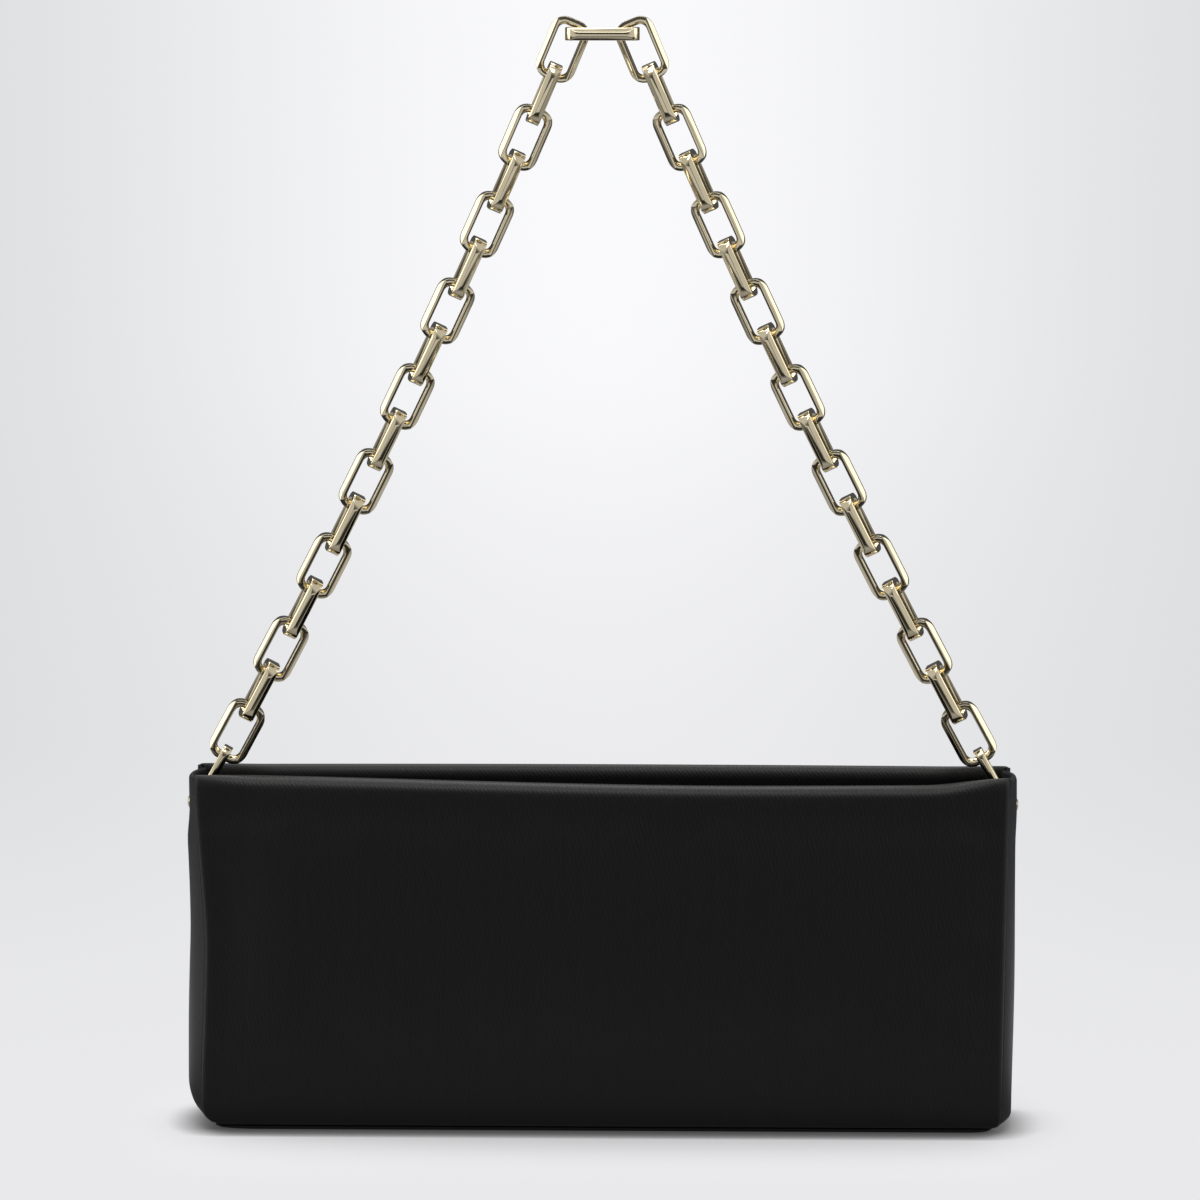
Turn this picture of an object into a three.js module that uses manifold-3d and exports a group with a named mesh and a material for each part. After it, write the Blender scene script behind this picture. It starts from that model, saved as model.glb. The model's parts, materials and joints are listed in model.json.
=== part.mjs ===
// A soft black clutch bag: two padded walls, a gusset at each end and a base round an open mouth,
// carried on a chain strap. Millimetres, +Z up, front towards -Y, origin on the floor under its middle.
import * as THREE from "three";
import { mergeVertices } from "three/addons/utils/BufferGeometryUtils.js";
import Module from "manifold-3d";

// Body
const BODY_HEIGHT = 118; // floor to the ends of the rim
const WALL_TOP_WIDTH = 270; // front or back wall, seam to seam, at the rim
const WALL_BASE_WIDTH = 265; // the same at the floor
const WALL_CORNER = 5; // rounding of the walls' lower corners
const BASE_DEPTH = 46; // over both walls at the floor
const MOUTH_END_DEPTH = 32; // over both walls at the ends of the rim
const MOUTH_BOW = 6; // how far each rim bows out in the middle
const BELLY = 2.5; // pillow of each wall halfway up
const FRONT_DIP = 2.2; // sag of the front rim in the middle
const BACK_DIP = 0.4; // sag of the back rim in the middle
const WALL_LIFT = 0.6; // walls hang this far clear of the floor

// Layers of the body
const PANEL_THICK = 1.8;
const BOARD_THICK = 1.2;
const LINING_THICK = 0.8;
const GUSSET_THICK = 2;
const BASE_THICK = 2;
const LAYER_GAP = 0.3; // air between two sewn layers
const FACING_HEIGHT = 30; // satin strip inside the rim
const FACING_DROP = 1.2; // facing below the rim
const BOARD_DROP = 4; // stiffener below the rim
const BOARD_INSET = 4; // stiffener in from the lining's edge
const SEAM_INSET = 0.5; // gusset edge in from the wall's edge
const GUSSET_DROP = 2; // gusset top below the rim
const GUSSET_TOP_BULGE = 2.5; // gusset past the wall's seam, halfway between the walls, at the rim
const GUSSET_BASE_BULGE = 5; // the same near the floor
const GUSSET_CORNER = 12; // height of the gusset's round lower end
const GUSSET_LINING_DROP = 24; // gusset lining below the rim
const BASE_CORNER = 6;

// Inside fittings
const MAGNET_RADIUS = 7;
const MAGNET_THICK = 1.6;
const MAGNET_RIM = 1.2;
const MAGNET_DISH = 0.5;
const MAGNET_DROP = 18; // middle of the magnet below the rim
const POCKET_WIDTH = 140;
const POCKET_BOTTOM = 14;
const POCKET_TOP = 78;

// Strap
const LINKS_PER_SIDE = 17;
const LINK_BAR = 2.6; // bar seen from the link's face
const LINK_BAND = 4.2; // bar seen edge on
const LINK_INSIDE_LENGTH = 16.1;
const LINK_INSIDE_WIDTH = 8.1;
const LINK_CORNER = 2.2; // inside corner radius
const LINK_FACE_CHAMFER = 0.8;
const LINK_EDGE_CHAMFER = 1.35;
const LINK_PLAY = 0.4; // air between two hooked bars
const RUN_SAG_DEGREES = 6; // a run's slope eases by this from ring to top, as in any hanging chain
const RUN_TWIST_DEGREES = 10; // a run is turned about its length, its front towards the middle
const TWIST_EASE = 2; // links over which the twist comes in at each end of a run
const TOP_INSIDE_LENGTH = 19.2; // the one longer link at the top of the strap
const RING_BAR = 1.8;
const RING_BAND = 3;
const RING_INSIDE_LENGTH = 11.6;
const RING_INSIDE_WIDTH = 6;
const RING_CORNER = 1.4;
const RING_FACE_CHAMFER = 0.45;
const RING_EDGE_CHAMFER = 0.9;
const RING_DROP = 5; // pivot of the anchor ring below the rim

// Anchor tab and its stud
const TAB_WIDTH = 3.5;
const TAB_THICK = 1.1;
const TAB_PLAY = 0.75; // air round the ring's bar, so that it can tilt
const TAIL_THICK = 2.2; // both plies of the tab below the loop
const TAIL_LENGTH = 15; // below the ring's pivot
const STUD_DROP = 6; // stud below the ring's pivot
const STUD_HEAD_RADIUS = 2.2;
const STUD_HEAD_RISE = 1;
const STUD_SHOULDER = 0.6; // radius taken off the head towards its top
const STUD_SHANK_RADIUS = 0.9;
const STUD_HOLE_RADIUS = 1.2;
const STUD_FOOT_RISE = 0.8;

const LAYER_STACK = PANEL_THICK + BOARD_THICK + LINING_THICK + 2 * LAYER_GAP;
const WALL_COLUMNS = 10;
const WALL_ROWS = 8;
const GUSSET_COLUMNS = 8;
const SKIN_ROWS = 5; // rows of a layer that covers only part of a wall's height
const ROW_BIAS = 1.6; // more rows near the floor, where the corners are round
const QUARTER_CIRCLE = 0.5523; // control length of a curve that draws a quarter of a unit circle
const MAGNET_SIDES = 24;
const STUD_SIDES = 16;
const STUD_HOLE_SIDES = 12;
const LINK_CORNER_STEPS = 2;
const TAB_CURVE_STEPS = 8;
const BASE_CORNER_STEPS = 4;

const finish = (color, roughness, metalness) =>
  new THREE.MeshStandardMaterial({ color, roughness, metalness });
const satin = finish(0x1a1a1b, 0.55, 0);
const leather = finish(0x161515, 0.4, 0);
const lining = finish(0x232224, 0.85, 0);
const board = finish(0x8c8578, 0.9, 0);
const gold = finish(0xd9cba6, 0.18, 1);
const steel = finish(0xb9b6ae, 0.3, 1);

const wasm = await Module();
wasm.setup();
const { degToRad, lerp, smoothstep } = THREE.MathUtils;

function named(name, geometry, material) {
  const mesh = new THREE.Mesh(geometry, material);
  mesh.name = name;
  return mesh;
}

function solidOf(geometry) {
  const bare = geometry.clone();
  bare.deleteAttribute("normal");
  bare.deleteAttribute("uv");
  const merged = mergeVertices(bare, 1e-4);
  const vertProperties = new Float32Array(merged.getAttribute("position").array);
  const triVerts = new Uint32Array(merged.getIndex().array);
  return new wasm.Manifold(new wasm.Mesh({ numProp: 3, vertProperties, triVerts }));
}

function cut(geometry, tool) {
  const mesh = solidOf(geometry).subtract(solidOf(tool)).getMesh();
  const result = new THREE.BufferGeometry();
  result.setAttribute("position", new THREE.BufferAttribute(mesh.vertProperties, 3));
  result.setIndex(new THREE.BufferAttribute(mesh.triVerts, 1));
  return result;
}

// A box of the given segments, each point moved by place(x, y, z) with x, y and z from -1 to 1.
function bentBox(segments, place) {
  const geometry = new THREE.BoxGeometry(2, 2, 2, ...segments);
  const points = geometry.getAttribute("position");
  for (let i = 0; i < points.count; i++) {
    points.setXYZ(i, ...place(points.getX(i), points.getY(i), points.getZ(i)));
  }
  geometry.computeVertexNormals();
  return geometry;
}

const share = (value) => (value + 1) / 2;
const round = (radius, height) => {
  const below = Math.max(0, radius - height);
  return radius - Math.sqrt(radius * radius - below * below);
};
const wallHalf = (z) => lerp(WALL_BASE_WIDTH, WALL_TOP_WIDTH, z / BODY_HEIGHT) / 2;

// Half the bag's outside depth at x and z, from the middle plane to the outer face of a wall.
function wallReach(x, z) {
  const up = z / BODY_HEIGHT;
  const crown = 1 - (x / wallHalf(z)) ** 2;
  const lean = lerp(BASE_DEPTH, MOUTH_END_DEPTH, smoothstep(up, 0, 1)) / 2;
  return lean + crown * (MOUTH_BOW * up * up + BELLY * Math.sin(Math.PI * up));
}

// One layer of the front wall, starting start millimetres in from its outer face.
function wallLayer({ start, thick, half, low, high, dip, rows = WALL_ROWS }) {
  return bentBox([WALL_COLUMNS, 1, rows], (across, through, up) => {
    const z = lerp(low, high, share(up) ** ROW_BIAS);
    const x = across * half(z);
    const crown = 1 - (x / wallHalf(z)) ** 2;
    const y = start + thick * share(through) - wallReach(x, z);
    return [x, y, z - dip * crown * (z / BODY_HEIGHT) ** 2];
  });
}

const innerHalf = (z) => wallHalf(z) - SEAM_INSET - GUSSET_THICK - LINING_THICK - 2 * LAYER_GAP;

function magnet() {
  const profile = [
    new THREE.Vector2(0, 0),
    new THREE.Vector2(MAGNET_RADIUS, 0),
    new THREE.Vector2(MAGNET_RADIUS, MAGNET_THICK),
    new THREE.Vector2(MAGNET_RADIUS - MAGNET_RIM, MAGNET_THICK),
    new THREE.Vector2(MAGNET_RADIUS - 2 * MAGNET_RIM, MAGNET_THICK - MAGNET_DISH),
    new THREE.Vector2(0, MAGNET_THICK - MAGNET_DISH),
  ];
  return new THREE.LatheGeometry(profile, MAGNET_SIDES);
}

// A wall as it lies at the front: panel, stiffener, facing, lining and magnet.
function wall(side, dip) {
  const group = new THREE.Group();
  const panelHalf = (z) => wallHalf(z) - round(WALL_CORNER, z - WALL_LIFT);
  const panel = { start: 0, thick: PANEL_THICK, half: panelHalf, low: WALL_LIFT, high: BODY_HEIGHT, dip };
  group.add(named(`${side}_panel`, wallLayer(panel), satin));

  const boardStart = PANEL_THICK + LAYER_GAP;
  const floor = BASE_THICK + 2 * LAYER_GAP;
  const stiffener = {
    start: boardStart,
    thick: BOARD_THICK,
    half: (z) => innerHalf(z) - BOARD_INSET,
    low: floor + BOARD_THICK,
    high: BODY_HEIGHT - BOARD_DROP,
    dip,
  };
  group.add(named(`${side}_board`, wallLayer(stiffener), board));

  const skin = {
    start: boardStart + BOARD_THICK + LAYER_GAP,
    thick: LINING_THICK,
    half: innerHalf,
    dip,
    rows: SKIN_ROWS,
  };
  const join = BODY_HEIGHT - FACING_HEIGHT;
  const facing = { ...skin, low: join, high: BODY_HEIGHT - FACING_DROP };
  group.add(named(`${side}_facing`, wallLayer(facing), satin));
  const liner = { ...skin, low: floor + BOARD_THICK, high: join - LAYER_GAP };
  group.add(named(`${side}_lining`, wallLayer(liner), lining));

  const disc = named(`${side}_magnet`, magnet(), steel);
  const height = BODY_HEIGHT - MAGNET_DROP;
  disc.position.set(0, LAYER_STACK + LAYER_GAP - wallReach(0, height), height - dip);
  group.add(disc);
  return group;
}

function slipPocket() {
  const patch = {
    start: LAYER_STACK + LAYER_GAP,
    thick: LINING_THICK,
    half: () => POCKET_WIDTH / 2,
    low: POCKET_BOTTOM,
    high: POCKET_TOP,
    dip: BACK_DIP,
    rows: SKIN_ROWS,
  };
  return named("slip_pocket", wallLayer(patch), lining);
}

// Bulge of a gusset halfway between the walls, and how far from the bag's middle that puts its outside.
const gussetBulge = (z) => lerp(GUSSET_BASE_BULGE, GUSSET_TOP_BULGE, z / BODY_HEIGHT);
const gussetReach = (z) => wallHalf(z) - SEAM_INSET + gussetBulge(z);

// One layer of the left gusset, inset millimetres in from its outer face.
function gussetLayer(inset, thick, wallInset, high) {
  return bentBox([1, GUSSET_COLUMNS, WALL_ROWS], (through, along, up) => {
    const z = lerp(BASE_THICK + LAYER_GAP, high, share(up) ** ROW_BIAS);
    const edge = wallHalf(z) - SEAM_INSET;
    const bulge = gussetBulge(z);
    const drop = (bulge / GUSSET_CORNER) * round(GUSSET_CORNER, z);
    const outside = edge + (bulge - drop) * (1 - along * along);
    const x = inset + thick * share(through) - outside;
    const halfDepth = wallReach(wallHalf(z), z) - wallInset - LAYER_GAP;
    return [x, along * halfDepth, z];
  });
}

// Where the strap hangs and how its two runs slope.
const PIVOT_Z = BODY_HEIGHT - RING_DROP;
const GUSSET_INSIDE = Math.min(gussetReach(PIVOT_Z - TAIL_LENGTH), gussetReach(BODY_HEIGHT)) - GUSSET_THICK;
const TAB_OUTSIDE = GUSSET_INSIDE - LAYER_GAP;
const TAB_BORE = Math.hypot(RING_BAND / 2, RING_BAR / 2 - RING_FACE_CHAMFER) + TAB_PLAY;
const TAB_RADIUS = TAB_BORE + TAB_THICK;
const PIVOT_X = TAB_OUTSIDE - TAB_RADIUS;
const TOP_HOOK = LINK_BAND / 2 + LINK_PLAY; // top link's end bar to the inside of the link that it holds
const TOP_BAR_X = (TOP_INSIDE_LENGTH + LINK_BAR) / 2;

// The pieces of a run, ring first: how far each carries it on, and its slope from vertical.
function runPieces() {
  const pieces = [];
  for (let number = 0; number <= LINKS_PER_SIDE; number++) {
    const inside = number === 0 ? RING_INSIDE_LENGTH : LINK_INSIDE_LENGTH;
    const reach = number === 0 ? inside + RING_BAR / 2 : inside - LINK_PLAY;
    const slope = degToRad(RUN_SAG_DEGREES) * (0.5 - number / LINKS_PER_SIDE);
    pieces.push({ inside, reach, slope });
  }
  let ahead = 0;
  let aside = 0;
  for (const [number, { reach, slope }] of pieces.entries()) {
    const length = number < LINKS_PER_SIDE ? reach : reach - TOP_HOOK;
    ahead += length * Math.cos(slope);
    aside += length * Math.sin(slope);
  }
  const mean = Math.asin((PIVOT_X - TOP_BAR_X) / Math.hypot(ahead, aside)) - Math.atan2(aside, ahead);
  let across = -PIVOT_X;
  let up = PIVOT_Z;
  for (const piece of pieces) {
    piece.slope += mean;
    across += piece.reach * Math.sin(piece.slope);
    up += piece.reach * Math.cos(piece.slope);
    piece.x = across - (piece.inside / 2) * Math.sin(piece.slope);
    piece.z = up - (piece.inside / 2) * Math.cos(piece.slope);
  }
  const last = pieces[LINKS_PER_SIDE];
  return { pieces, topHeight: up - TOP_HOOK * Math.cos(last.slope) };
}
const RUN = runPieces();

function roundedRectangle(outline, width, length, radius) {
  const x = width / 2;
  const y = length / 2;
  const pull = radius * (1 - QUARTER_CIRCLE);
  outline.moveTo(x - radius, -y);
  outline.bezierCurveTo(x - pull, -y, x, pull - y, x, radius - y);
  outline.lineTo(x, y - radius);
  outline.bezierCurveTo(x, y - pull, x - pull, y, x - radius, y);
  outline.lineTo(radius - x, y);
  outline.bezierCurveTo(pull - x, y, -x, y - pull, -x, y - radius);
  outline.lineTo(-x, radius - y);
  outline.bezierCurveTo(-x, pull - y, pull - x, -y, radius - x, -y);
  outline.closePath();
  return outline;
}

// A closed link, its length along Z, its width along X and its band along Y.
function link({ insideLength, insideWidth, bar, band, corner, faceChamfer, edgeChamfer }) {
  const length = insideLength + 2 * bar;
  const outline = roundedRectangle(new THREE.Shape(), insideWidth + 2 * bar, length, corner + bar);
  outline.holes.push(roundedRectangle(new THREE.Path(), insideWidth, insideLength, corner));
  const depth = band - 2 * edgeChamfer;
  const geometry = new THREE.ExtrudeGeometry(outline, {
    depth,
    bevelThickness: edgeChamfer,
    bevelSize: faceChamfer,
    bevelOffset: -faceChamfer,
    bevelSegments: 1,
    curveSegments: LINK_CORNER_STEPS,
  });
  geometry.translate(0, 0, -depth / 2);
  return geometry.rotateX(Math.PI / 2);
}

const chainLink = {
  insideLength: LINK_INSIDE_LENGTH,
  insideWidth: LINK_INSIDE_WIDTH,
  bar: LINK_BAR,
  band: LINK_BAND,
  corner: LINK_CORNER,
  faceChamfer: LINK_FACE_CHAMFER,
  edgeChamfer: LINK_EDGE_CHAMFER,
};
const anchorRing = {
  insideLength: RING_INSIDE_LENGTH,
  insideWidth: RING_INSIDE_WIDTH,
  bar: RING_BAR,
  band: RING_BAND,
  corner: RING_CORNER,
  faceChamfer: RING_FACE_CHAMFER,
  edgeChamfer: RING_EDGE_CHAMFER,
};

// One run of the strap: links face on and edge on in turn. hand is 1 at the left and -1 at the right.
function strapRun(side, hand) {
  const run = new THREE.Group();
  for (const [number, { x, z, slope }] of RUN.pieces.entries()) {
    const name = number === 0 ? "anchor_ring" : `link_${String(number).padStart(2, "0")}`;
    const piece = named(`${side}_${name}`, link(number === 0 ? anchorRing : chainLink), gold);
    const edgeOn = number % 2 === 0 ? Math.PI / 2 : 0;
    const fromEnd = Math.min(number, LINKS_PER_SIDE - number);
    const twist = degToRad(RUN_TWIST_DEGREES) * Math.min(1, fromEnd / TWIST_EASE);
    piece.position.set(hand * x, 0, z);
    piece.rotation.set(0, hand * slope, hand * twist + edgeOn, "YXZ");
    run.add(piece);
  }
  return run;
}

function topLink() {
  const piece = named("top_link", link({ ...chainLink, insideLength: TOP_INSIDE_LENGTH }), gold);
  piece.rotation.set(0, Math.PI / 2, Math.PI / 2, "YXZ");
  piece.position.z = RUN.topHeight;
  return piece;
}

// The stud's height, the underside of its head outside the gusset and the top of its foot inside the tab.
const STUD_Z = PIVOT_Z - STUD_DROP;
const STUD_OUTSIDE = Math.max(
  gussetReach(STUD_Z - STUD_HEAD_RADIUS),
  gussetReach(STUD_Z + STUD_HEAD_RADIUS),
);
const STUD_HEAD = STUD_OUTSIDE + LAYER_GAP / 2;
const STUD_FOOT = TAB_OUTSIDE - TAIL_THICK - LAYER_GAP;

function studHole() {
  const length = STUD_HEAD - STUD_FOOT + LAYER_GAP;
  const tool = new THREE.CylinderGeometry(STUD_HOLE_RADIUS, STUD_HOLE_RADIUS, length, STUD_HOLE_SIDES);
  tool.rotateZ(Math.PI / 2);
  return tool.translate(-(STUD_HEAD + STUD_FOOT) / 2, 0, STUD_Z);
}

// A leather strip folded round the ring's lower bar, its tail flat against the left gusset.
function anchorTab() {
  const inside = TAIL_THICK - TAB_RADIUS;
  const shape = new THREE.Shape();
  shape.moveTo(-TAB_RADIUS, -TAIL_LENGTH);
  shape.lineTo(-TAB_RADIUS, 0);
  shape.absarc(0, 0, TAB_RADIUS, Math.PI, Math.acos(-inside / TAB_RADIUS) - Math.PI, true);
  shape.lineTo(inside, -TAIL_LENGTH);
  shape.closePath();
  const bore = new THREE.Path();
  bore.absarc(0, 0, TAB_BORE, 0, 2 * Math.PI, false);
  shape.holes.push(bore);
  const geometry = new THREE.ExtrudeGeometry(shape, {
    depth: TAB_WIDTH,
    bevelEnabled: false,
    curveSegments: TAB_CURVE_STEPS,
  });
  geometry.rotateX(Math.PI / 2);
  geometry.translate(-PIVOT_X, TAB_WIDTH / 2, PIVOT_Z);
  return cut(geometry, studHole());
}

// A rivet through the left gusset and its tab, its flat-topped head outside.
function stud() {
  const profile = [
    new THREE.Vector2(0, STUD_FOOT - STUD_FOOT_RISE),
    new THREE.Vector2(STUD_HEAD_RADIUS, STUD_FOOT - STUD_FOOT_RISE),
    new THREE.Vector2(STUD_HEAD_RADIUS, STUD_FOOT),
    new THREE.Vector2(STUD_SHANK_RADIUS, STUD_FOOT),
    new THREE.Vector2(STUD_SHANK_RADIUS, STUD_HEAD),
    new THREE.Vector2(STUD_HEAD_RADIUS, STUD_HEAD),
    new THREE.Vector2(STUD_HEAD_RADIUS - STUD_SHOULDER, STUD_HEAD + STUD_HEAD_RISE),
    new THREE.Vector2(0, STUD_HEAD + STUD_HEAD_RISE),
  ];
  const geometry = new THREE.LatheGeometry(profile, STUD_SIDES);
  geometry.rotateZ(Math.PI / 2);
  return geometry.translate(0, 0, STUD_Z);
}

// Everything at the left end of the bag.
function bagEnd(side) {
  const group = new THREE.Group();
  const gusset = cut(gussetLayer(0, GUSSET_THICK, PANEL_THICK, BODY_HEIGHT - GUSSET_DROP), studHole());
  group.add(named(`${side}_gusset`, gusset, satin));
  const inset = GUSSET_THICK + LAYER_GAP;
  const liner = gussetLayer(inset, LINING_THICK, LAYER_STACK, BODY_HEIGHT - GUSSET_LINING_DROP);
  group.add(named(`${side}_gusset_lining`, liner, lining));
  group.add(named(`${side}_anchor_tab`, anchorTab(), leather));
  group.add(named(`${side}_stud`, stud(), gold));
  return group;
}

function plate(width, depth, low, thick) {
  const outline = roundedRectangle(new THREE.Shape(), width, depth, BASE_CORNER);
  const geometry = new THREE.ExtrudeGeometry(outline, {
    depth: thick,
    bevelEnabled: false,
    curveSegments: BASE_CORNER_STEPS,
  });
  return geometry.translate(0, 0, low);
}

function base() {
  const group = new THREE.Group();
  const skinDepth = BASE_DEPTH - 2 * (PANEL_THICK + LAYER_GAP);
  const skin = plate(2 * (wallHalf(0) - SEAM_INSET), skinDepth, 0, BASE_THICK);
  group.add(named("base_panel", skin, satin));
  const width = 2 * innerHalf(0);
  const depth = BASE_DEPTH - 2 * (LAYER_STACK + LAYER_GAP);
  const boardLow = BASE_THICK + LAYER_GAP;
  group.add(named("base_board", plate(width, depth, boardLow, BOARD_THICK), board));
  const liningLow = boardLow + BOARD_THICK + LAYER_GAP;
  group.add(named("base_lining", plate(width, depth, liningLow, LINING_THICK), lining));
  return group;
}

const bag = new THREE.Group();
bag.add(base());
bag.add(wall("front", FRONT_DIP));
const backWall = wall("back", BACK_DIP);
backWall.add(slipPocket());
backWall.rotation.z = Math.PI;
bag.add(backWall);
bag.add(bagEnd("left"));
const rightEnd = bagEnd("right");
rightEnd.rotation.z = Math.PI;
bag.add(rightEnd);
bag.add(strapRun("left", 1));
bag.add(strapRun("right", -1));
bag.add(topLink());

export default bag;
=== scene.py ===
import json
import math

import bmesh
import bpy
import numpy as np
from mathutils import Matrix, Vector


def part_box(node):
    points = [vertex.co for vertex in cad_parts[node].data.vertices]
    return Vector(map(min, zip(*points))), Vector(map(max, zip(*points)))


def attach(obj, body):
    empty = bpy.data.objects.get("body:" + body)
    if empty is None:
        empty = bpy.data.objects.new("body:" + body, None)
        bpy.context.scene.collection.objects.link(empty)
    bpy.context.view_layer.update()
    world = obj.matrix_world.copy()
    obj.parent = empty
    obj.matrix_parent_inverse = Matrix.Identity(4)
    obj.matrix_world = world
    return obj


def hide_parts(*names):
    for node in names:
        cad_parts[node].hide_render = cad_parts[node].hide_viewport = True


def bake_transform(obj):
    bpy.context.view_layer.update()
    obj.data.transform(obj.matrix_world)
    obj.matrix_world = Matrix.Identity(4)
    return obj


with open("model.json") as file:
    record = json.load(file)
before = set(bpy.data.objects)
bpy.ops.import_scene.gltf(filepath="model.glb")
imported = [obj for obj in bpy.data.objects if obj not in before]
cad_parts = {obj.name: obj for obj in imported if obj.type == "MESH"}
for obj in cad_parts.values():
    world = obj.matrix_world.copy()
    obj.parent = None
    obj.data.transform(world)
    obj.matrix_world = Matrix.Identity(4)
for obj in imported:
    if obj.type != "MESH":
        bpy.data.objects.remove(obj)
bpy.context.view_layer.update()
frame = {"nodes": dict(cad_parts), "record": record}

MM = 0.001
RIGHT_ANGLE = math.pi / 2

# Body, measured on the frame
RIM_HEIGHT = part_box("front_panel")[1].z
WALL_TOP_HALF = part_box("front_panel")[1].x
BASE_HALF_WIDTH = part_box("base_panel")[1].x
BASE_HALF_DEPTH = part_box("base_panel")[1].y
BASE_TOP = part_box("base_panel")[1].z

# Body, the frame's own sizes again
SEAM = 0.5 * MM  # gusset and base in from the walls' edges
PANEL = 1.8 * MM  # outer layer of a wall
GAP = 0.3 * MM  # between two layers
BOARD = 1.2 * MM
LINING = 0.8 * MM
GUSSET = 2 * MM
WALL_FOOT_HALF = BASE_HALF_WIDTH + SEAM
FOOT_HALF_DEPTH = BASE_HALF_DEPTH + PANEL + GAP
MOUTH_END_HALF = 16 * MM  # half the mouth's depth at its ends
MOUTH_BOW = 6 * MM
BELLY = 2.5 * MM
FRONT_SAG = 2.55 * MM  # of the front rim, which comes down slowly from the left and fast at the right
SAG_LEFT_RUN = 190 * MM
SAG_RIGHT_RUN = 28 * MM
BACK_SAG = 0.4 * MM
LAYERS = PANEL + BOARD + LINING + 2 * GAP
FACING_HEIGHT = 30 * MM
GUSSET_TOP_BULGE = 2.5 * MM
GUSSET_FOOT_BULGE = 5 * MM
LEFT, RIGHT = -1, 1
ENDS = {"left": LEFT, "right": RIGHT}

# Satin skin of a wall: it turns under at the foot and rolls over the rim
SKIN = 1.1 * MM
FOOT_LOW = 1.6 * MM
FOOT_RISE = 11 * MM
FOOT_TUCK = 2.2 * MM
RIM_DROP = 4.8 * MM  # outer curve of the rim, high and deep
RIM_DEPTH = 4.2 * MM
LIP_DROP = 4.2 * MM  # inner curve of the rim
LIP_DEPTH = 2.6 * MM
LIP_END = 8 * MM  # where the turned satin is sewn to the facing
LIP_SEWN = 0.4 * MM
RIM_PINCHED = 0.4  # share of its depth that the rim keeps at its ends
RIM_PINCH = 22 * MM  # and how far in it is full again
EDGE_ROUND = 1.7 * MM
EDGE_TUCK = 2.2 * MM
CORNER = {LEFT: (7 * MM, 5.4 * MM), RIGHT: (2 * MM, 2.6 * MM)}  # rounding of the lower corners, wide and high
LEFT_PULL = 2.6 * MM  # the strap draws the front wall's left seam in below the rim
PULL_RISE = 60 * MM
PULL_FALL = 70 * MM
SKIN_COLUMNS = 80
EDGE_COLUMNS = 4
FOOT_ROWS = 6
FACE_ROWS = 34
RIM_ROWS = 14
LIP_ROWS = 3

# How the foam and cloth of the front wall lie off the plain form
BESIDE_SEAM = [(-0.9 * MM, -122 * MM, 8 * MM), (0.5 * MM, -106 * MM, 11 * MM)]  # out, middle and width
LONG_WAVE = 0.3 * MM
LONG_WAVE_RUN = 29 * MM
LONG_WAVE_START = 0.6
SHORT_WAVE = 0.2 * MM
SHORT_WAVE_RUN = 13 * MM
SHORT_WAVE_SLANT = 45 * MM

# Layers inside a wall
LAYER_COLUMNS = 40
LAYER_ROWS = 16
FACING_DROP = 4.5 * MM  # its upper edge, below the rim and behind the turned satin
LINING_LIFT = 1.8 * MM  # its foot, above the base
POCKET_FOOT = 14 * MM
POCKET_TOP = 78 * MM
POCKET_HALF_WIDTH = 70 * MM
POCKET_HEM = 0.5 * MM  # its hem stands this far off
HEM_FROM = 0.86  # share of its height

# Base
BASE_CORNER = 3 * MM
BASE_CORNER_STEPS = 8
BASE_EDGE = 0.6 * MM
BASE_EDGE_STEPS = 4
BASE_CLEAR = 0.15 * MM  # under the walls' feet, which come down a little as they swing
BASE_BEHIND = 0.6 * MM  # behind the walls' feet
BASE_END = {LEFT: 3.8 * MM, RIGHT: 2.2 * MM}  # in from the seams
BASE_THINNING = {LEFT: 14 * MM, RIGHT: 8 * MM}  # from this far in, the ends thin out
BASE_THINNED = 0.95  # and very nearly close
BASE_END_CUTS = 8
BASE_BOARD_SHORT = 10 * MM
BASE_LINING_SAG = 0.5 * MM
BASE_LINING_ROWS = 8

# Gusset
GUSSET_SATIN = 0.8 * MM
GUSSET_DROP = 1.4 * MM  # its turned top, below the rim
GUSSET_TURNED = 24.3 * MM  # the turned satin ends this far below the rim
GUSSET_LINING_DROP = 24 * MM  # and the lining starts here
GUSSET_FULL = {LEFT: 1.6, RIGHT: 1.1}  # how much fuller than the plain bulge
GUSSET_FULL_FOOT = 0.8  # share of that at the foot
GUSSET_FULL_RISE = 60 * MM
GUSSET_TIED = 1.25  # how full where the stud holds it
GUSSET_TIED_FROM = 94 * MM
GUSSET_TIED_RUN = 12 * MM
CREASE = 0.8 * MM  # how deep it folds in down the middle
CREASE_WIDTH = 0.2  # share of the half depth
CREASE_FROM = 30 * MM
CREASE_RISE = 50 * MM
CREASE_TO = 98 * MM
CREASE_FALL = 20 * MM
GUSSET_LIP = 1 * MM  # half its turned top edge
GUSSET_SWELL = {LEFT: (4 * MM, 11 * MM), RIGHT: (2.1 * MM, 2.8 * MM)}  # where it swells out, from and over
GUSSET_ROUND = {LEFT: 2.4, RIGHT: 3.2}  # the higher, the fuller it stands beside its seams
GUSSET_COLUMNS = 14
GUSSET_FOOT = 14 * MM  # rounded under, in finer rows
GUSSET_FOOT_ROWS = 18
GUSSET_ROWS = 36
GUSSET_LIP_ROWS = 6
GUSSET_TURNED_ROWS = 5

# Settling of a wall's satin over its foam, by cloth simulation
SETTLE_FRAMES = 24
SETTLE_QUALITY = 8
SETTLE_MASS = 0.05
SETTLE_BENDING = 20
SETTLE_FULLNESS = 0.002  # cut this much fuller than the space between its seams
SETTLE_PRESSURE = 2  # the foam pushing out
SETTLE_WEIGHT = 0.1  # share of gravity
SETTLE_OUT = 0.9 * MM  # the most that it may stand off the foam
SETTLE_IN = 0.35 * MM  # and press into it
SEWN_COLUMNS = 8  # free from this far in
SEWN_ROWS = 5

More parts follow.
